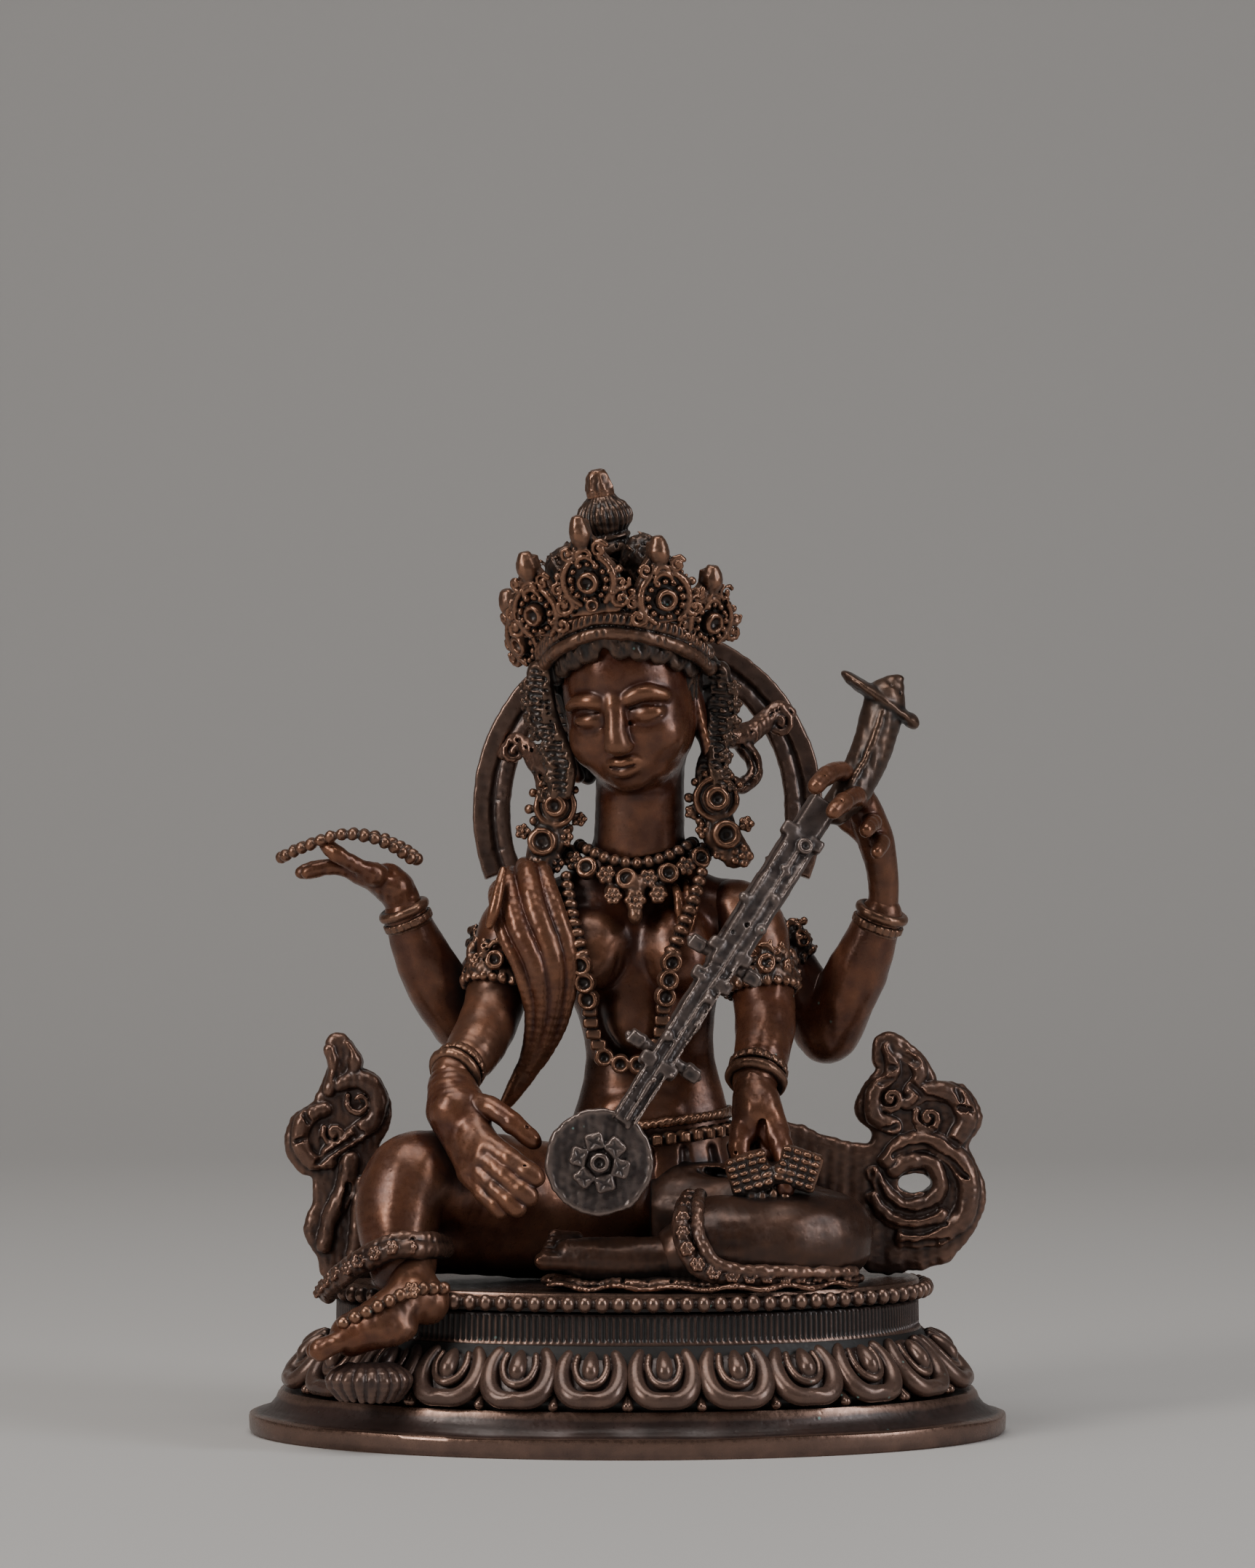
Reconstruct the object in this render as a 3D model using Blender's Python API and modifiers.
"""Cast copper statuette: a seated four-armed goddess with a long-necked lute on an oval lotus base.

Units are metres in the file and millimetres in the tables below (see MM). +Z is up, the figure faces -Y,
and the origin is the middle of the base's footprint. "right" and "left" are the figure's own sides, so the
figure's right is at -X. Pieces that meet keep GAP between them: each piece is cut back by the ones listed
before it, and a stub on one piece therefore leaves its own socket in the next.
"""

import math

import bmesh
import bpy
from mathutils import Matrix, Vector

MM = 0.001
GAP = 0.3  # air between neighbouring pieces

# Driving dimensions, in millimetres
BASE_LONG = 52.0  # half the footprint, side to side
BASE_RATIO = 0.65  # front-to-back over side-to-side of every oval in the base
PLINTH_TOP = 6.2
PETAL_TOP = 14.0
DRUM_TOP = 18.4
SEAT_TOP = 21.0
DRUM_LONG = 40.0
SLAB_LONG = 39.7
PETAL_COUNT = 24
RIM_BEAD = 1.1  # radius of a bead on the seat's rim
RIM_COUNT = 84
HEAD_AT = Vector((0.8, 0.6, 99.0))
HEAD_YAW, HEAD_ROLL, HEAD_PITCH = math.radians(-16), math.radians(-7), math.radians(12)
HEAD_SIZE = Vector((9.3, 10.4, 12.0))
CROWN_LONG = 11.3
LEAF_ANGLES = (-80, -42, 2, 47, 84)  # where each leaf stands on the band
LEAF_FACING = (-44, -22, 0, 32, 52)  # which way each leaf faces
LEAF_LEANS = (9, 1, 4, 3, 12)
LEAF_HEIGHTS = (10.6, 11.4, 13.2, 11.5, 10.6)
ARCH_AT = Vector((2.8, 13.6, 85.2))
ARCH_LONG, ARCH_TALL, ARCH_BAND = 25.0, 26.5, 6.2
SOUNDBOX_AT = Vector((-3.7, -24.5, 38.6))
SOUNDBOX_R = 7.2
NECK_LOW = Vector((-0.6, -24.6, 44.2))
NECK_HIGH = Vector((26.6, -9.4, 86.2))
STUBBORN = {"torso"}  # shapes that the exact solver empties instead of cutting


def clear_scene():
    for obj in list(bpy.data.objects):
        bpy.data.objects.remove(obj, do_unlink=True)


def collection(name, parent=None):
    made = bpy.data.collections.new(name)
    (parent or bpy.context.scene.collection).children.link(made)
    return made


def metal(name, colour, roughness):
    material = bpy.data.materials.new(name)
    material.use_nodes = True
    shader = material.node_tree.nodes["Principled BSDF"]
    shader.inputs["Base Color"].default_value = (*colour, 1)
    shader.inputs["Metallic"].default_value = 1.0
    shader.inputs["Roughness"].default_value = roughness
    return material


# ---------------------------------------------------------------- shape makers


def smooth_path(points, per_span=3, closed=False):
    """Points on a Catmull-Rom curve through the given ones; any extra numbers, such as radii, follow along."""
    rows = [tuple(p) for p in points]
    count = len(rows)
    spans = count if closed else count - 1

    def row(i):
        return rows[i % count] if closed else rows[max(0, min(count - 1, i))]

    made = []
    for span in range(spans):
        before, start, end, after = (row(span + k) for k in (-1, 0, 1, 2))
        for step in range(per_span):
            t = step / per_span
            made.append(
                tuple(
                    0.5 * (2 * b + (c - a) * t + (2 * a - 5 * b + 4 * c - d) * t * t
                           + (3 * b - a - 3 * c + d) * t * t * t)
                    for a, b, c, d in zip(before, start, end, after)
                )
            )
    if not closed:
        made.append(rows[-1])
    return made


def mesh_from(obj, name):
    """The object's evaluated shape as a plain mesh object in world space; the original is removed."""
    bpy.context.view_layer.update()
    graph = bpy.context.evaluated_depsgraph_get()
    mesh = bpy.data.meshes.new_from_object(obj.evaluated_get(graph))
    mesh.transform(obj.matrix_world)
    bm = bmesh.new()
    bm.from_mesh(mesh)
    bmesh.ops.remove_doubles(bm, verts=bm.verts, dist=0.00001)
    bmesh.ops.recalc_face_normals(bm, faces=bm.faces)
    bm.to_mesh(mesh)
    bm.free()
    bpy.data.objects.remove(obj, do_unlink=True)
    made = bpy.data.objects.new(name, mesh)
    PARTS.objects.link(made)
    return made


def tube(name, stations, per_span=3, closed=False, sides=8):
    """A round tapering limb or wire through (x, y, z, radius) stations."""
    data = bpy.data.curves.new(name, "CURVE")
    data.dimensions = "3D"
    data.bevel_depth = MM
    data.bevel_resolution = (sides - 4) // 2
    data.use_fill_caps = True
    spline = data.splines.new("POLY")
    path = smooth_path(stations, per_span, closed)
    spline.points.add(len(path) - 1)
    for point, (x, y, z, radius) in zip(spline.points, path):
        point.co = (x * MM, y * MM, z * MM, 1)
        point.radius = radius
    spline.use_cyclic_u = closed
    obj = bpy.data.objects.new(name, data)
    PARTS.objects.link(obj)
    return mesh_from(obj, name)


def bead_string(name, stations, bead, beads, closed=False, sides=6):
    """One body shaped as a string of touching beads along a path of (x, y, z) points."""
    path = [Vector(p) for p in smooth_path(stations, 12, closed)]
    if closed:
        path.append(path[0])
    reach = [0.0]
    for a, b in zip(path, path[1:]):
        reach.append(reach[-1] + (b - a).length)

    def at(distance):
        for i in range(len(path) - 1):
            if reach[i + 1] >= distance:
                share = (distance - reach[i]) / max(reach[i + 1] - reach[i], 1e-9)
                return path[i].lerp(path[i + 1], share)
        return path[-1]

    rings = []
    for half in range(2 * beads + (0 if closed else 1)):
        radius = bead if half % 2 else bead * 0.55
        rings.append((*at(reach[-1] * half / (2 * beads)), radius))
    return tube(name, rings, 1, closed, sides)


def loft(name, stations, sides=14, side_axis=(1, 0, 0)):
    """An oval body through (x, y, z, half width, half depth) stations; half width is along side_axis."""
    bm = bmesh.new()
    centres = [Vector(s[:3]) for s in stations]
    rings = []
    for i, (x, y, z, wide, deep) in enumerate(stations):
        along = centres[min(i + 1, len(centres) - 1)] - centres[max(i - 1, 0)]
        along.normalize()
        across = Vector(side_axis) - along * along.dot(Vector(side_axis))
        across.normalize()
        through = along.cross(across)
        ring = []
        for k in range(sides):
            turn = 2 * math.pi * k / sides
            offset = across * wide * math.cos(turn) + through * deep * math.sin(turn)
            ring.append(bm.verts.new((Vector((x, y, z)) + offset) * MM))
        rings.append(ring)
    for low, high in zip(rings, rings[1:]):
        for k in range(sides):
            bm.faces.new((low[k], low[(k + 1) % sides], high[(k + 1) % sides], high[k]))
    bm.faces.new(rings[0])
    bm.faces.new(rings[-1])
    bmesh.ops.recalc_face_normals(bm, faces=bm.faces)
    return mesh_object(name, bm)


def mesh_object(name, bm):
    mesh = bpy.data.meshes.new(name)
    bm.to_mesh(mesh)
    bm.free()
    obj = bpy.data.objects.new(name, mesh)
    PARTS.objects.link(obj)
    return obj


def ball(name, at, radii, rotation=None, across=12, up=8):
    bm = bmesh.new()
    bmesh.ops.create_uvsphere(bm, u_segments=across, v_segments=up, radius=MM)
    turn = rotation or Matrix.Identity(4)
    place = Matrix.Translation(Vector(at) * MM) @ turn @ Matrix.Diagonal((*radii, 1))
    bmesh.ops.transform(bm, matrix=place, verts=bm.verts)
    return mesh_object(name, bm)


def plate(name, outline, thick, place):
    """A flat outline of (x, z) points, standing in the XZ plane of place and thick along its Y."""
    data = bpy.data.curves.new(name, "CURVE")
    data.dimensions = "2D"
    data.fill_mode = "BOTH"
    data.extrude = thick / 2 * MM
    spline = data.splines.new("POLY")
    spline.points.add(len(outline) - 1)
    for point, (x, z) in zip(spline.points, outline):
        point.co = (x * MM, z * MM, 0, 1)
    spline.use_cyclic_u = True
    obj = bpy.data.objects.new(name, data)
    PARTS.objects.link(obj)
    obj.matrix_world = place @ Matrix.Rotation(math.radians(90), 4, "X")
    return mesh_from(obj, name)


def turned_oval(name, profile, steps=40, closed=True):
    """A profile of (radius, height) points turned round Z and pressed to the base's oval."""
    bm = bmesh.new()
    points = [bm.verts.new((radius * MM, 0, height * MM)) for radius, height in profile]
    ends = points[1:] + points[:1] if closed else points[1:]
    for a, b in zip(points, ends):
        bm.edges.new((a, b))
    obj = mesh_object(name, bm)
    screw = obj.modifiers.new("turn", "SCREW")
    screw.steps = screw.render_steps = steps
    screw.use_merge_vertices = True
    screw.merge_threshold = 0.00001
    made = mesh_from(obj, name)
    made.data.transform(Matrix.Diagonal((1, BASE_RATIO, 1, 1)))
    return made


def joined(name, pieces):
    """One body made from overlapping pieces by Boolean unions."""
    first = pieces[0]
    for other in pieces[1:]:
        union = first.modifiers.new("join", "BOOLEAN")
        union.operation = "UNION"
        union.object = other
    made = mesh_from(first, name)
    for other in pieces[1:]:
        bpy.data.objects.remove(other, do_unlink=True)
    made.name = name
    return made


def at_head():
    """The head's own frame: +Z through the crown, -Y out of the face."""
    turn = (
        Matrix.Rotation(HEAD_YAW, 4, "Z")
        @ Matrix.Rotation(HEAD_ROLL, 4, "Y")
        @ Matrix.Rotation(HEAD_PITCH, 4, "X")
    )
    return Matrix.Translation(HEAD_AT) @ turn


def head_point(x, y, z):
    return at_head() @ Vector((x, y, z))


def in_mm(matrix):
    """The matrix with its translation turned from millimetres into metres."""
    made = matrix.copy()
    made.translation = made.translation * MM
    return made


# ------------------------------------------------------------------- the base


def base_plate():
    return turned_oval("base_plate", [(0, 1.8), (48.4, 1.8), (48.4, 0.6), (0, 0.6)], closed=False)


def base_plinth():
    foot = [(BASE_LONG, 3.0), (BASE_LONG, 0), (49.2, 0), (49.2, 2.3), (38, 2.3), (38, PLINTH_TOP)]
    return turned_oval("base_plinth", [(49.0, PLINTH_TOP), (49.2, 4.8), (50.4, 3.5), *foot])


def lotus_petals():
    core = turned_oval(
        "petal_core",
        [(41.5, PETAL_TOP), (46.0, 9.5), (47.4, PLINTH_TOP + 0.3), (32, PLINTH_TOP + 0.3), (32, PETAL_TOP)],
    )
    bm = bmesh.new()
    for i in range(PETAL_COUNT):
        turn = 2 * math.pi * (i + 0.5) / PETAL_COUNT
        made = bmesh.ops.create_icosphere(bm, subdivisions=1, radius=MM)
        lean = Matrix.Rotation(math.radians(32), 4, "Y")
        # the petals are spaced and turned round the oval, not squashed with it
        x = 45.3 * math.cos(turn)
        y = 45.3 * BASE_RATIO * math.sin(turn)
        facing = math.atan2(math.sin(turn) / BASE_RATIO, math.cos(turn))
        place = (
            Matrix.Translation(Vector((x, y, 9.9)) * MM)
            @ Matrix.Rotation(facing, 4, "Z")
            @ lean
            @ Matrix.Diagonal((2.1, 4.3, 4.4, 1))
        )
        bmesh.ops.transform(bm, matrix=place, verts=made["verts"])
    petals = mesh_object("petal_lobes", bm)
    return joined("lotus_petals", [core, petals])


def base_drum():
    low, high = PETAL_TOP + GAP, DRUM_TOP
    return turned_oval("base_drum", [(DRUM_LONG, high), (DRUM_LONG, low), (36.5, low), (36.5, high)])


def seat_slab():
    low = DRUM_TOP + GAP
    edge = [(SLAB_LONG - 0.5, SEAT_TOP), (SLAB_LONG, SEAT_TOP - 0.5), (SLAB_LONG, low), (0, low)]
    return turned_oval("seat_slab", [(0, SEAT_TOP), *edge], closed=False)


def bead_rim():
    long, wide = SLAB_LONG + RIM_BEAD + 0.4, SLAB_LONG * BASE_RATIO + RIM_BEAD + 0.4
    path = []
    for i in range(48):
        turn = 2 * math.pi * i / 48
        path.append((long * math.cos(turn), wide * math.sin(turn), SEAT_TOP - 1.15))
    return bead_string("bead_rim", path, RIM_BEAD, RIM_COUNT, closed=True, sides=4)


def foot_lotus():
    return ball("foot_lotus", (-34.4, -24.8, 9.5), (5.2, 4.0, 2.8))


# -------------------------------------------------------------- head and crown


def head():
    skull = ball("skull", HEAD_AT, HEAD_SIZE, in_mm(at_head()).to_3x3().to_4x4(), 14, 10)
    neck = tube("neck", [(*head_point(0, 1.5, -5), 4.4), (1.5, 3.8, 87.0, 3.6), (1.6, 4.4, 81.0, 3.2)], 2)
    turn = in_mm(at_head()).to_3x3().to_4x4()
    nose = ball("nose", head_point(0, -9.9, -0.8), (1.2, 1.5, 3.0), turn, 8, 6)
    chin = ball("chin", head_point(0, -6.2, -7.2), (4.0, 3.2, 2.9), turn, 8, 6)
    ears = [ball("ear", head_point(side * 9.2, 1.4, -2.2), (1.3, 2.2, 6.2), turn, 8, 6) for side in (-1, 1)]
    return joined("head", [skull, neck, nose, chin, *ears])


def hair():
    turn = in_mm(at_head()).to_3x3().to_4x4()
    cap = loft("cap", [(*head_point(0, 2.4, 2.6), 9.8, 9.4), (*head_point(0, 1.8, 5.6), 10.2, 10.2),
                       (*head_point(0, 1.1, 9.6), 9.7, 10.4), (*head_point(0, 1.3, 13.6), 8.0, 9.0),
                       (*head_point(0, 1.4, 17.2), 4.4, 5.2)], 14, head_point(1, 0, 0) - HEAD_AT)
    pieces = [
        cap,
        ball("lobe_a", head_point(-5.0, -2.5, 20.9), (3.4, 3.2, 3.4), turn, 8, 6),
        ball("lobe_b", head_point(5.4, -2.5, 21.0), (3.3, 3.2, 3.4), turn, 8, 6),
        ball("lobe_mid", head_point(0.6, -0.5, 18.2), (5.2, 4.4, 5.2), turn, 8, 6),
        tube("lock_right", [(-11.4, 2.4, 103.0, 1.2), (-11.9, 0.4, 100.8, 1.1), (-11.4, -0.6, 97.6, 1.1),
                            (-10.4, -1.2, 94.2, 1.1), (-9.6, -1.4, 91.6, 1.0)], 1, sides=6),
        tube("lock_left", [(12.4, 2.4, 103.0, 1.2), (13.2, 1.2, 100.4, 1.1), (13.2, 0.6, 97.2, 1.1),
                           (12.8, 0.4, 94.0, 1.1), (12.6, 0.2, 91.8, 1.0)], 1, sides=6),
    ]
    return joined("hair", pieces)


def topknot():
    stations = [(0.9, -0.5, 21.6, 2.6), (0.9, -0.5, 24.4, 2.7), (0.9, -0.5, 26.6, 3.9), (0.9, -0.5, 28.4, 3.5),
                (0.9, -0.5, 30.0, 1.9)]
    return tube("topknot", [(*head_point(*s[:3]), s[3]) for s in stations], 1, sides=10)


def topknot_jewel():
    stations = [(0.9, -0.5, 30.3, 1.8), (0.9, -0.5, 31.0, 1.8), (0.9, -0.5, 32.0, 1.9), (0.9, -0.5, 33.4, 1.2)]
    return tube("topknot_jewel", [(*head_point(*s[:3]), s[3]) for s in stations], 1, sides=10)


def band_point(away):
    """The crown band's line by the angle from the brow: high over the brow, low at the ears and nape."""
    turn = math.radians(away)
    share = min(abs(away), 360 - abs(away)) / 90
    z = 14.0 - 8.6 * share ** 1.6 if share < 1 else 5.4 - 0.6 * (share - 1)
    return Vector((CROWN_LONG * math.sin(turn), -(CROWN_LONG - 0.9) * math.cos(turn) + 0.2, z))


def crown_band():
    path = [(*head_point(*band_point(15 * i)), 1.7) for i in range(24)]
    return tube("crown_band", path, 1, closed=True, sides=6)


def leaf_outline(width, height):
    """Half of the leaf as shares of its width and height, mirrored into a pointed outline."""
    half = [(0.70, 0.0), (1.0, 0.12), (0.90, 0.32), (0.74, 0.50), (0.56, 0.62), (0.50, 0.72), (0.27, 0.80), (0.24, 0.95)]
    right = [(a * width, b * height) for a, b in half]
    left = [(-x, z) for x, z in reversed(right)]
    return [*right, (0, height), *left]


def crown_leaf(index):
    degrees = LEAF_ANGLES[index]
    turn = math.radians(degrees)
    place = (
        at_head()
        @ Matrix.Translation(band_point(degrees) + Vector((0.8 * math.sin(turn), -0.8 * math.cos(turn), 2.1)))
        @ Matrix.Rotation(math.radians(LEAF_LEANS[index]) * math.sin(turn), 4, "Y")
        @ Matrix.Rotation(math.radians(LEAF_FACING[index]), 4, "Z")
        @ Matrix.Rotation(math.radians(4), 4, "X")
    )
    return plate(f"crown_leaf_{index + 1}", leaf_outline(4.8, LEAF_HEIGHTS[index]), 1.8, in_mm(place))


def earring(name, centres):
    """Overlapping round bosses, each (x, y, z, radius), facing the front."""
    pieces = []
    for x, y, z, radius in centres:
        bm = bmesh.new()
        bmesh.ops.create_cone(
            bm, cap_ends=True, segments=12, radius1=radius * MM, radius2=radius * 0.85 * MM, depth=2.4 * MM
        )
        place = Matrix.Translation(Vector((x, y, z)) * MM) @ Matrix.Rotation(math.radians(90), 4, "X")
        bmesh.ops.transform(bm, matrix=place, verts=bm.verts)
        pieces.append(mesh_object("boss", bm))
    return joined(name, pieces)


def ribbon_scrolls():
    right = [(-15.8, 12.0, 92.6, 1.3), (-14.0, 11.0, 93.8, 1.4), (-12.6, 9.0, 91.8, 1.5), (-11.4, 6.6, 90.6, 1.5),
             (-9.6, 4.0, 91.2, 1.2)]
    left = [(22.0, 12.0, 97.6, 1.3), (20.0, 10.8, 96.2, 1.5), (17.6, 9.0, 94.6, 1.7), (14.4, 7.0, 94.4, 1.5),
            (10.6, 4.6, 95.0, 1.2)]
    return [tube("ribbon_scroll_right", right, 2), tube("ribbon_scroll_left", left, 2)]


# ----------------------------------------------------------------- the figure


def torso():
    column = [
        (3.0, 6.0, 17.2, 6.0, 5.5), (3.0, 6.0, 21.3, 6.0, 5.5), (3.0, 6.0, 21.4, 12.0, 9.5),
        (3.0, 6.0, 26.0, 13.4, 10.4), (3.0, 6.0, 32.0, 13.0, 9.8), (3.1, 5.6, 38.0, 11.6, 8.0),
        (3.3, 5.2, 43.5, 10.6, 6.6), (3.3, 5.0, 47.5, 9.6, 6.0), (3.1, 5.0, 51.7, 8.9, 5.7),
        (2.6, 4.6, 56.5, 9.4, 5.9), (1.8, 4.0, 61.5, 10.8, 6.9), (1.2, 3.8, 66.0, 12.6, 7.4),
        (0.7, 4.2, 70.5, 14.0, 6.8), (0.9, 4.8, 74.4, 13.4, 5.6), (1.3, 5.0, 77.4, 8.6, 5.2),
        (1.5, 4.6, 79.6, 6.8, 5.4), (1.6, 4.2, 82.4, 6.1, 5.3), (1.6, 3.8, 86.0, 5.8, 5.2),
    ]
    return loft("torso", column, 14)


def arms():
    front_right = [(-8.0, 4.0, 70.5, 2.4), (-12.6, 3.4, 71.4, 4.4), (-15.6, 2.2, 69.6, 5.0), (-17.4, 0.6, 63.0, 4.5),
                   (-18.9, -2.6, 56.4, 4.2), (-21.0, -8.0, 52.4, 3.6), (-23.6, -12.4, 49.6, 2.9)]
    front_left = [(10.0, 4.0, 70.5, 2.4), (14.6, 3.4, 71.6, 4.4), (17.2, 2.4, 69.6, 5.0), (18.2, 0.6, 63.0, 4.5),
                  (18.8, -3.0, 56.6, 4.2), (18.2, -7.4, 51.8, 3.7), (17.3, -10.2, 48.6, 3.1)]
    rear_right = [(-7.0, 8.0, 69.5, 2.4), (-12.6, 9.4, 70.2, 4.0), (-18.0, 10.0, 64.0, 4.4), (-21.9, 9.0, 57.2, 4.2)]
    rear_right_low = [(-22.6, 8.6, 56.4, 3.9), (-25.6, 6.4, 59.8, 4.0), (-28.4, 4.6, 65.4, 3.5),
                      (-30.9, 3.2, 71.4, 2.7)]
    rear_left = [(10.0, 8.0, 70.0, 2.4), (15.6, 9.4, 70.8, 4.0), (21.6, 10.0, 63.6, 4.4), (27.0, 8.8, 55.6, 4.3)]
    rear_left_low = [(27.8, 8.2, 54.6, 4.0), (30.6, 6.0, 60.4, 4.0), (32.9, 4.0, 65.6, 3.7), (35.0, 2.4, 71.0, 3.0)]
    return [
        tube("arm_front_right", front_right, 2), tube("arm_front_left", front_left, 2),
        joined("arm_rear_right", [tube("upper_right", rear_right, 2), tube("lower_right", rear_right_low, 2),
                                  ball("elbow_right", (-22.4, 8.6, 56.6), (4.6, 4.6, 4.6))]),
        joined("arm_rear_left", [tube("upper_left", rear_left, 2), tube("lower_left", rear_left_low, 2),
                                 ball("elbow_left", (27.4, 8.4, 55.0), (4.7, 4.7, 4.7))]),
    ]


def hand_front_right():
    palm = loft("palm", [(-22.6, -11.0, 50.6, 1.5, 1.5), (-24.0, -13.4, 48.4, 2.9, 2.5), (-23.4, -17.0, 44.6, 4.2, 2.4),
                         (-20.4, -20.6, 40.4, 4.8, 2.2), (-18.2, -22.4, 37.4, 3.6, 1.6)], 10, (1, 0, 0.8))
    fingers = [
        [(-20.6, -20.6, 42.0, 1.4), (-16.0, -23.4, 39.8, 1.3), (-12.0, -25.2, 38.4, 1.1)],
        [(-20.4, -21.4, 39.8, 1.4), (-16.0, -24.6, 36.4, 1.3), (-12.6, -26.0, 34.0, 1.1)],
        [(-21.0, -21.4, 38.0, 1.3), (-17.0, -24.4, 34.4, 1.2), (-14.0, -25.4, 31.8, 1.0)],
        [(-22.0, -17.0, 45.4, 1.5), (-17.0, -19.4, 44.4, 1.4), (-12.8, -21.6, 41.6, 0.8)],
    ]
    return joined("hand_front_right", [palm, *(tube(f"finger_{i}", f, 1, sides=6) for i, f in enumerate(fingers))])


def hand_front_left():
    palm = loft("palm", [(17.5, -9.2, 50.2, 1.6, 1.6), (17.2, -11.0, 47.0, 2.8, 2.4), (17.4, -12.6, 43.6, 3.4, 2.4),
                         (18.2, -13.8, 40.4, 3.2, 2.2)], 10)
    fingers = [
        [(18.0, -13.0, 44.0, 1.9), (20.2, -15.6, 40.0, 1.7), (21.2, -17.2, 34.4, 1.2)],
        [(16.2, -12.6, 44.0, 1.8), (15.0, -14.2, 40.4, 1.7), (15.6, -15.2, 37.6, 1.2)],
    ]
    return joined("hand_front_left", [palm, *(tube(f"finger_{i}", f, 1, sides=6) for i, f in enumerate(fingers))])


def hand_rear_right():
    palm = loft("palm", [(-30.2, 3.7, 69.6, 1.4, 1.4), (-31.2, 3.0, 72.6, 2.6, 2.6), (-33.2, 2.6, 75.8, 2.4, 2.8),
                         (-37.2, 2.0, 77.5, 1.7, 3.6), (-41.4, 1.2, 77.4, 1.3, 3.6), (-45.4, 0.2, 77.0, 0.9, 2.4)],
                10, (0.5, 0, -1))
    thumb = tube("thumb", [(-36.0, -1.0, 77.6, 1.2), (-39.6, -2.6, 79.4, 1.1), (-41.4, -2.0, 81.0, 0.9)], 1, sides=6)
    return joined("hand_rear_right", [palm, thumb])


def hand_rear_left():
    palm = loft("palm", [(34.6, 2.8, 69.2, 1.5, 1.5), (35.4, 2.1, 73.0, 2.5, 2.4), (35.2, 1.2, 77.4, 2.5, 2.8),
                         (34.4, -0.4, 82.0, 2.7, 3.4), (32.8, -3.0, 87.0, 2.2, 3.2)], 10)
    fingers = [
        [(32.4, -3.4, 87.4, 1.5), (30.2, -8.4, 89.6, 1.4), (26.8, -13.2, 88.8, 1.2)],
        [(32.6, -3.6, 84.6, 1.5), (31.2, -9.2, 85.4, 1.4), (28.6, -13.6, 84.0, 1.1)],
    ]
    return joined("hand_rear_left", [palm, *(tube(f"finger_{i}", f, 1, sides=6) for i, f in enumerate(fingers))])


def leg_right():
    return loft("leg_right", [(-2.0, 2.0, 30.0, 8.6, 8.4), (-10.0, -2.0, 31.6, 8.6, 8.4), (-18.0, -7.0, 33.8, 8.0, 8.0),
                              (-25.4, -11.0, 35.4, 7.0, 7.4), (-29.6, -14.4, 34.4, 6.6, 6.8),
                              (-30.8, -17.0, 29.2, 6.0, 5.8), (-30.2, -18.4, 24.6, 5.2, 4.8)], 12, (0.3, 0.2, 1))


def leg_left():
    return loft("leg_left", [(8.0, 1.0, 29.4, 8.4, 8.0), (16.0, -3.0, 28.6, 8.2, 7.4), (23.6, -7.6, 27.6, 7.4, 6.6),
                             (27.6, -12.6, 26.8, 6.4, 5.6), (21.0, -17.2, 26.0, 5.6, 4.8),
                             (13.0, -19.4, 25.8, 5.0, 4.4), (7.0, -20.0, 25.4, 4.2, 3.6)], 12, (0, 0, 1))


def foot_right():
    sole = loft("sole", [(-29.6, -18.6, 26.4, 2.6, 2.6), (-28.4, -21.4, 22.6, 3.0, 3.4), (-30.2, -24.6, 18.8, 3.2, 3.6),
                         (-34.4, -26.2, 16.2, 3.0, 2.8), (-38.4, -26.0, 14.2, 2.9, 2.2), (-41.6, -25.2, 13.2, 2.2, 1.4)],
                10, (0, 1, 0.4))
    heel = ball("heel", (-26.4, -23.0, 19.4), (3.0, 2.8, 3.0), None, 10, 6)
    return joined("foot_right", [sole, heel])


def foot_left():
    return tube("foot_left", [(5.6, -20.0, 25.4, 2.6), (0.0, -20.4, 25.4, 2.9), (-6.0, -20.8, 26.0, 2.6),
                              (-11.6, -20.8, 26.6, 1.6)], 2)


def anklet_right():
    path = [(-24.4, -24.6, 21.8), (-28.4, -27.4, 21.8), (-33.0, -28.6, 19.8), (-37.6, -28.2, 17.6)]
    return bead_string("anklet_right", path, 0.85, 9)


def hems():
    right = [(-24.6, -16.6, 26.4, 1.3), (-27.0, -22.2, 26.8, 1.3), (-31.4, -24.0, 26.8, 1.4), (-36.0, -21.6, 24.4, 1.5),
             (-39.4, -16.4, 21.6, 1.6), (-40.6, -12.4, 20.0, 1.3)]
    left = [(8.2, -14.6, 33.2, 1.2), (7.4, -20.4, 31.4, 1.4), (7.6, -24.2, 27.4, 1.4), (11.4, -24.4, 23.2, 1.3),
            (20.0, -21.6, 22.7, 1.1), (29.0, -16.0, 22.7, 1.0)]
    return [tube("hem_right", right, 2), tube("hem_left", left, 2)]


def around(name, at, axis, radius, thick):
    """A ring of a given tube thickness round a limb."""
    turn = Vector(axis).to_track_quat("Z", "Y").to_matrix().to_4x4()
    path = []
    for i in range(12):
        angle = 2 * math.pi * i / 12
        spot = turn @ Vector((radius * math.cos(angle), radius * math.sin(angle), 0))
        path.append((*(Vector(at) + spot), thick))
    return tube(name, path, 1, closed=True, sides=6)


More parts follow.
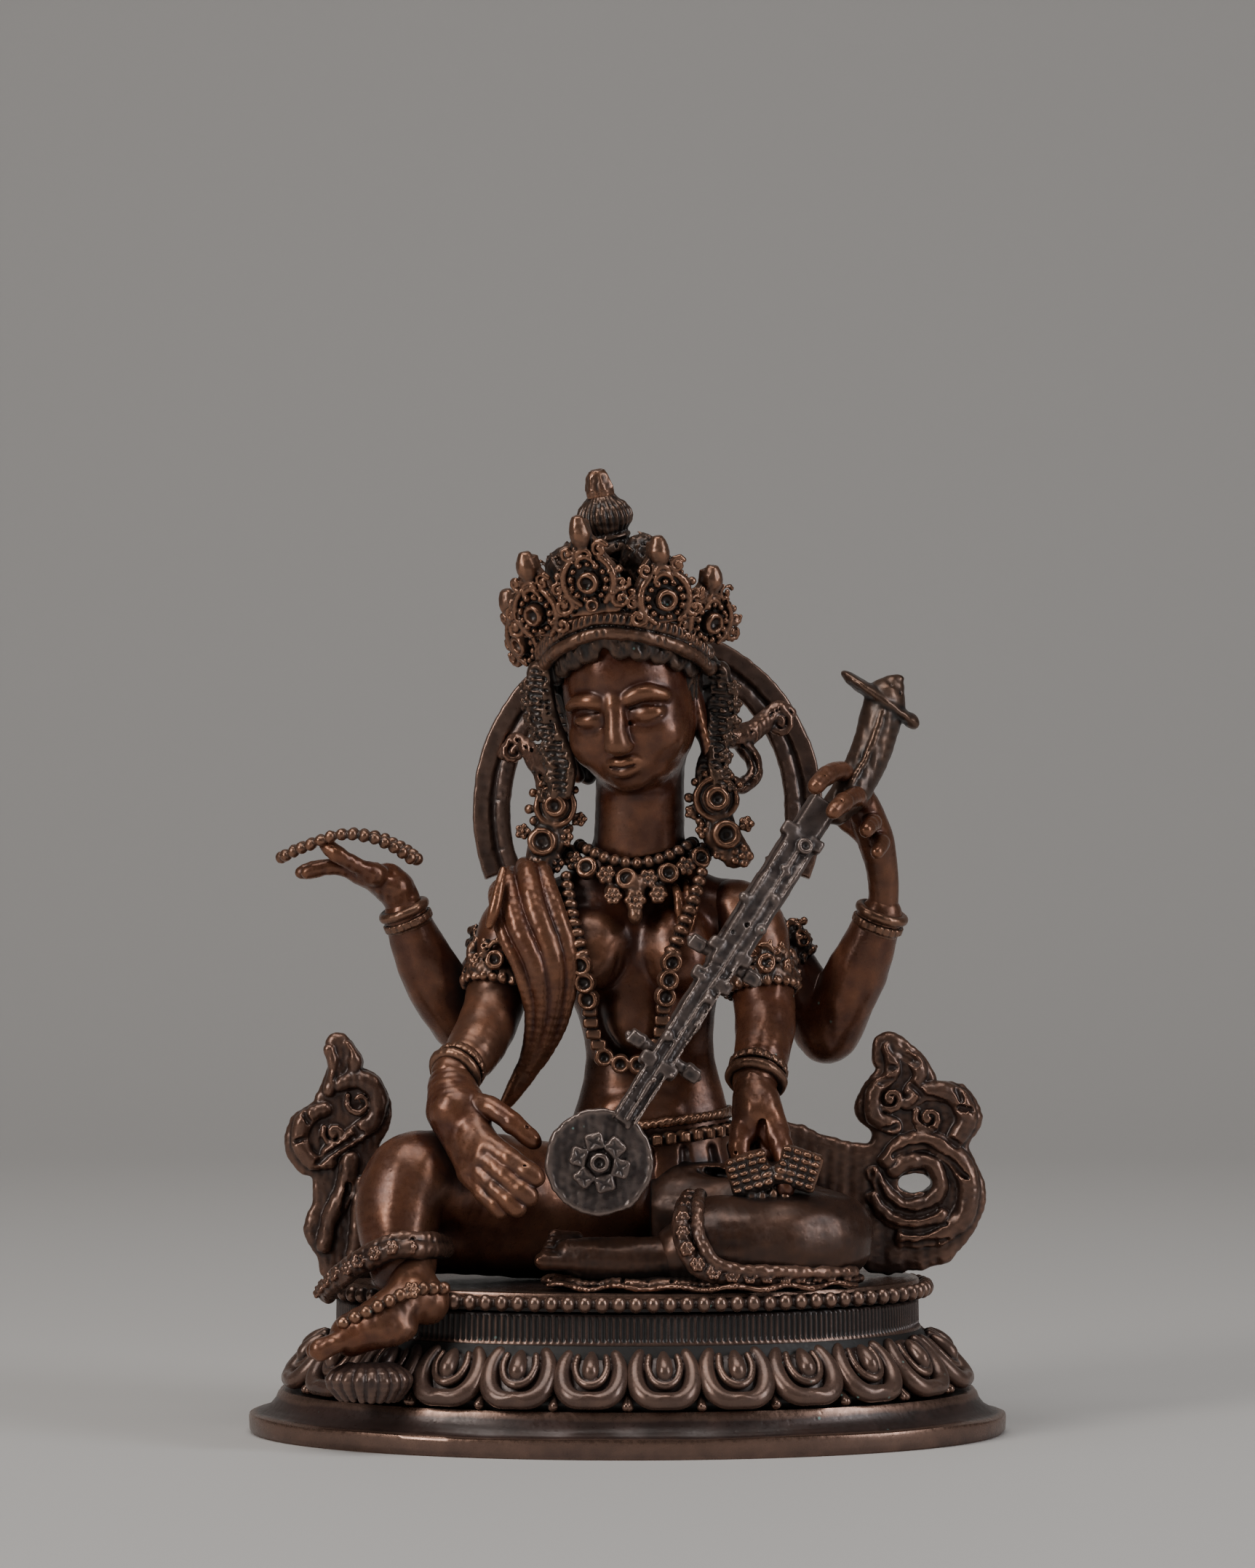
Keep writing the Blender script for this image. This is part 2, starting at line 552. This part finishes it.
def arm_rings():
    return [
        around("armlet_front_right", (-17.5, 0.0, 62.2), (-0.15, -0.3, -1), 4.9, 1.2),
        around("armlet_front_left", (18.3, -0.2, 61.8), (0.1, -0.3, -1), 4.9, 1.2),
        around("armlet_rear_right", (-17.2, 9.8, 65.2), (-0.6, 0, -1), 4.7, 1.2),
        around("armlet_rear_left", (21.0, 9.9, 64.4), (0.6, 0, -1), 4.7, 1.2),
        around("bracelet_front_right", (-23.0, -11.4, 50.2), (-0.45, -0.75, -0.5), 3.3, 1.0),
        around("bracelet_front_left", (17.6, -9.3, 49.4), (-0.2, -0.65, -0.75), 3.9, 1.05),
        around("bracelet_rear_right", (-30.6, 3.4, 70.8), (-0.4, -0.2, 1), 3.1, 1.0),
        around("bracelet_rear_left", (34.8, 2.5, 70.4), (0.35, -0.25, 1), 3.3, 1.0),
    ]


def necklace_short():
    path = [(-8.4, 3.6, 78.6), (-7.0, -0.6, 78.2), (-3.4, -2.4, 76.4), (1.0, -3.2, 75.0), (5.6, -2.4, 76.2),
            (9.6, -0.6, 78.4), (11.0, 3.6, 79.0)]
    return bead_string("necklace_short", path, 1.3, 14)


def necklace_long():
    path = [(-8.6, -1.6, 75.6), (-7.6, -3.8, 71.6), (-6.0, -5.6, 66.6), (-5.2, -5.0, 60.6), (-4.4, -3.2, 56.0),
            (-1.4, -2.6, 52.4), (2.2, -2.7, 51.8), (4.2, -2.9, 55.4), (4.4, -4.4, 60.6), (5.0, -5.6, 66.6),
            (7.2, -4.2, 71.6), (10.0, -1.8, 76.0)]
    return bead_string("necklace_long", path, 1.0, 30)


def belt():
    path = []
    for i in range(16):
        angle = 2 * math.pi * i / 16
        path.append((3.1 + 11.4 * math.cos(angle), 5.2 + 8.2 * math.sin(angle), 41.4 + 1.4 * math.cos(angle)))
    return bead_string("belt", path, 1.1, 26, closed=True, sides=4)


def shawl_right():
    stations = [(-15.0, 3.0, 76.4, 3.2, 1.2), (-17.2, -2.2, 73.6, 3.4, 1.2), (-15.4, -5.0, 68.4, 3.6, 1.2),
                (-12.4, -5.0, 61.6, 3.4, 1.1), (-11.8, -3.4, 55.0, 2.6, 1.1), (-14.6, -1.6, 49.0, 1.6, 1.0),
                (-16.6, -1.0, 45.2, 1.0, 0.8)]
    return loft("shawl_right", stations, 8)


# ------------------------------------------------- scarf arch and curling ends


def scarf_arch():
    low, steps = math.radians(-22), 28
    outer, inner = [], []
    for i in range(steps + 1):
        angle = low + (math.pi - 2 * low) * i / steps
        outer.append((ARCH_LONG * math.cos(angle), ARCH_TALL * math.sin(angle)))
        inner.append(((ARCH_LONG - ARCH_BAND) * math.cos(angle), (ARCH_TALL - ARCH_BAND) * math.sin(angle)))
    place = Matrix.Translation(ARCH_AT * MM)
    return plate("scarf_arch", outer + inner[::-1], 2.2, place)


def scarf_flames():
    right = smooth_path([
        (-36.0, 21.6), (-35.0, 33.0), (-34.0, 36.6), (-34.8, 39.0), (-33.4, 42.6), (-33.6, 45.6), (-37.0, 48.6),
        (-37.6, 51.6), (-39.4, 53.8), (-40.6, 53.2), (-40.2, 50.4), (-42.0, 46.0), (-42.2, 44.8), (-45.6, 42.4),
        (-46.2, 38.6), (-44.6, 36.4), (-42.6, 35.2), (-42.4, 31.4), (-43.6, 28.0), (-42.0, 24.4), (-41.0, 21.6),
    ], 2, closed=True)
    left = smooth_path([
        (42.0, 23.2), (44.4, 24.6), (47.4, 28.4), (48.4, 32.6), (47.0, 36.8), (46.2, 39.2), (48.0, 43.0), (45.8, 46.6),
        (41.6, 47.2), (41.6, 48.6), (39.6, 51.4), (36.6, 53.8), (34.8, 53.2), (34.6, 50.8), (35.4, 49.6), (32.8, 46.4),
        (32.2, 43.6), (34.4, 41.2), (33.4, 38.6), (28.6, 39.2), (20.0, 41.6), (20.6, 34.0), (30.4, 28.0), (33.6, 22.4),
    ], 2, closed=True)
    place_right = Matrix.Translation(Vector((0, -0.5, 0)) * MM)
    place_left = Matrix.Translation(Vector((0, 1.6, 0)) * MM)
    return [plate("scarf_flame_right", right, 2.8, place_right), plate("scarf_flame_left", left, 3.0, place_left)]


# -------------------------------------------------------- lute, beads and book


def veena_soundbox():
    stations = [(0, 1.2, 0, SOUNDBOX_R), (0, 0, 0, SOUNDBOX_R), (0, -0.6, 0, SOUNDBOX_R - 0.6)]
    back = [(0, 7.6, 0, 2.4), (0, 6.2, 0, 4.9), (0, 3.8, 0, 6.6)]
    stations = [(SOUNDBOX_AT.x + x, SOUNDBOX_AT.y + y, SOUNDBOX_AT.z + z, r) for x, y, z, r in back + stations]
    return tube("veena_soundbox", stations, 1, sides=20)


def veena_rosette():
    outline = []
    for i in range(48):
        angle = 2 * math.pi * i / 48
        reach = 3.6 + 0.9 * math.cos(6 * angle)
        outline.append((reach * math.cos(angle), reach * math.sin(angle)))
    flower = plate("flower", outline, 0.9, Matrix.Translation((SOUNDBOX_AT + Vector((0, -1.2, 0))) * MM))
    boss = ball("boss", SOUNDBOX_AT + Vector((0, -1.5, 0)), (1.5, 0.9, 1.5), None, 8, 4)
    return joined("veena_rosette", [flower, boss])


def veena_neck():
    along = NECK_HIGH - NECK_LOW
    sizes = [(0.0, 2.1, 1.8), (0.28, 2.2, 2.0), (0.5, 3.2, 2.4), (0.72, 3.6, 2.6), (0.88, 3.2, 2.4), (1.0, 3.0, 2.3)]
    stations = [(*(NECK_LOW + along * share), wide, deep) for share, wide, deep in sizes]
    return loft("veena_neck", stations, 6, (1, 0, -0.6))


def veena_headstock():
    stem = tube("stem", [(28.6, -7.4, 86.6, 2.2), (30.6, -6.0, 88.6, 2.5), (32.4, -4.7, 91.6, 2.6),
                         (34.2, -3.4, 96.6, 2.9), (34.9, -3.0, 100.0, 2.8)], 2)
    lean = Matrix.Rotation(math.radians(35.6), 4, "Y")
    top = ball("top", (34.5, -3.0, 100.6), (6.3, 3.3, 1.15), lean, 14, 6)
    knob = tube("knob", [(35.3, -3.0, 100.6, 2.0), (36.4, -3.0, 102.2, 1.9), (37.0, -3.0, 103.6, 1.3)], 1, sides=10)
    return joined("veena_headstock", [stem, top, knob])


def veena_pegs():
    along = NECK_HIGH - NECK_LOW
    pegs = []
    for name, share in (("veena_peg_lower", 0.20), ("veena_peg_upper", 0.50)):
        middle = NECK_LOW + along * share
        side = Vector((0.84, 0.1, -0.54))
        low, high = middle - side * 4.8, middle + side * 4.8
        pegs.append(tube(name, [(*low, 1.2), (*(middle - side * 3.2), 0.9), (*(middle + side * 3.2), 0.9), (*high, 1.2)], 1))
    return pegs


def mala():
    path = [(-47.6, 1.0, 78.8), (-44.0, -2.6, 80.4), (-39.0, -4.0, 82.0), (-34.0, -3.4, 81.2), (-29.6, -0.4, 78.6),
            (-29.6, 2.0, 79.2), (-34.0, 6.2, 81.4), (-39.0, 7.0, 82.0), (-44.0, 5.0, 80.6)]
    return bead_string("mala", path, 0.85, 26, closed=True)


def scripture():
    half = [(0.0, -3.0), (3.4, -3.2), (5.8, -2.2), (6.2, 0.6), (5.2, 2.6), (3.6, 2.2), (2.6, 3.2), (1.4, 2.4)]
    outline = [*half, (0.0, 3.0), *[(-x, z) for x, z in reversed(half[1:])]]
    place = Matrix.Translation(Vector((19.6, -17.2, 36.8)) * MM) @ Matrix.Rotation(math.radians(-8), 4, "X")
    return plate("scripture", outline, 3.6, place)


# ------------------------------------------------------------------- assembly


def grown(obj):
    """A hidden copy of a piece, larger by GAP all round, used as a cutter."""
    bm = bmesh.new()
    bm.from_mesh(obj.data)
    bm.normal_update()
    moves = [(v, v.normal * GAP * MM * min(v.calc_shell_factor(), 1.6)) for v in bm.verts]
    for v, move in moves:
        v.co += move
    made = mesh_object(obj.name + "_cutter", bm)
    PARTS.objects.unlink(made)
    CUTTERS.objects.link(made)
    made.hide_render = True
    made.display_type = "WIRE"
    return made


def corners(obj):
    points = [v.co for v in obj.data.vertices]
    return [min(p[i] for p in points) for i in range(3)], [max(p[i] for p in points) for i in range(3)]


def near(a, b):
    (alo, ahi), (blo, bhi) = corners(a), corners(b)
    return all(alo[i] < bhi[i] and blo[i] < ahi[i] for i in range(3))


def keep_largest(obj):
    """Drops crumbs that a cut left loose, keeping the piece's main body."""
    bm = bmesh.new()
    bm.from_mesh(obj.data)
    seen, islands = set(), []
    for start in bm.verts:
        if start in seen:
            continue
        stack, island = [start], []
        seen.add(start)
        while stack:
            v = stack.pop()
            island.append(v)
            for edge in v.link_edges:
                other = edge.other_vert(v)
                if other not in seen:
                    seen.add(other)
                    stack.append(other)
        islands.append(island)

    def spread(island):
        return sum(max(v.co[i] for v in island) - min(v.co[i] for v in island) for i in range(3))

    main = max(islands, key=spread)
    crumbs = [v for island in islands if island is not main for v in island]
    bmesh.ops.delete(bm, geom=crumbs, context="VERTS")
    bm.to_mesh(obj.data)
    bm.free()


def fit_together(pieces):
    """Cuts each piece clear of every earlier one that reaches into it, by the earlier one's whole shape."""
    cutters = []
    fitted = []
    for obj in pieces:
        name = obj.name
        cutter_of_this = grown(obj)
        used = [cutter for cutter in cutters if near(obj, cutter)]
        for cutter in used:
            cut = obj.modifiers.new("clear " + cutter.name, "BOOLEAN")
            cut.operation = "DIFFERENCE"
            cut.solver = "MANIFOLD" if name in STUBBORN else "EXACT"
            cut.object = cutter
        if used:
            obj = mesh_from(obj, name)
            keep_largest(obj)
        obj.name = name
        fitted.append(obj)
        cutters.append(cutter_of_this)
    return fitted


def finish(obj, material):
    obj.data.materials.clear()
    obj.data.materials.append(material)
    obj.data.shade_smooth()
    obj.data.set_sharp_from_angle(angle=math.radians(40))


def build():
    pieces = [
        *veena_pegs(), veena_neck(), veena_soundbox(), veena_headstock(), veena_rosette(),
        hand_front_right(), hand_front_left(), hand_rear_right(), hand_rear_left(),
        head(), scarf_arch(), *arms(), torso(), *scarf_flames(),
        base_plinth(), base_plate(), lotus_petals(), base_drum(), seat_slab(), bead_rim(),
        foot_right(), foot_left(), leg_right(), leg_left(), foot_lotus(),
        crown_band(), *(crown_leaf(i) for i in (2, 1, 3, 0, 4)), hair(), topknot(), topknot_jewel(),
        earring("earring_right", [(-10.2, -0.6, 85.6, 2.6), (-12.2, -0.6, 81.4, 1.9), (-12.8, -0.6, 78.4, 1.5)]),
        earring("earring_left", [(12.4, -0.6, 86.6, 2.8), (13.7, -0.6, 82.2, 2.1), (15.6, -0.6, 79.6, 1.5)]),
        *ribbon_scrolls(), *arm_rings(), necklace_short(), necklace_long(), belt(), shawl_right(),
        *hems(), anklet_right(), mala(), scripture(),
    ]
    return fit_together(pieces)


clear_scene()
STATUETTE = collection("seated_goddess_statuette")
PARTS = collection("parts", STATUETTE)
CUTTERS = collection("cutters")
CUTTERS.hide_render = True
MATERIALS = {
    "base": metal("base_copper", (0.19, 0.085, 0.05), 0.36),
    "skin": metal("figure_copper", (0.25, 0.11, 0.06), 0.32),
    "jewel": metal("jewel_copper", (0.22, 0.10, 0.06), 0.40),
    "cloth": metal("cloth_copper", (0.15, 0.075, 0.05), 0.42),
    "lute": metal("lute_copper", (0.14, 0.09, 0.075), 0.45),
}
MATERIAL_WORDS = {
    "base": ("base", "lotus", "seat", "rim"),
    "skin": ("arm_", "hand", "torso", "foot_r", "foot_l", "leg"),
    "cloth": ("scarf", "shawl", "hem", "ribbon", "hair", "topknot"),
    "lute": ("veena",),
}


def kind_of(name):
    for kind, words in MATERIAL_WORDS.items():
        if any(word in name for word in words):
            return kind
    return "skin" if name == "head" else "jewel"


for piece in build():
    finish(piece, MATERIALS[kind_of(piece.name)])
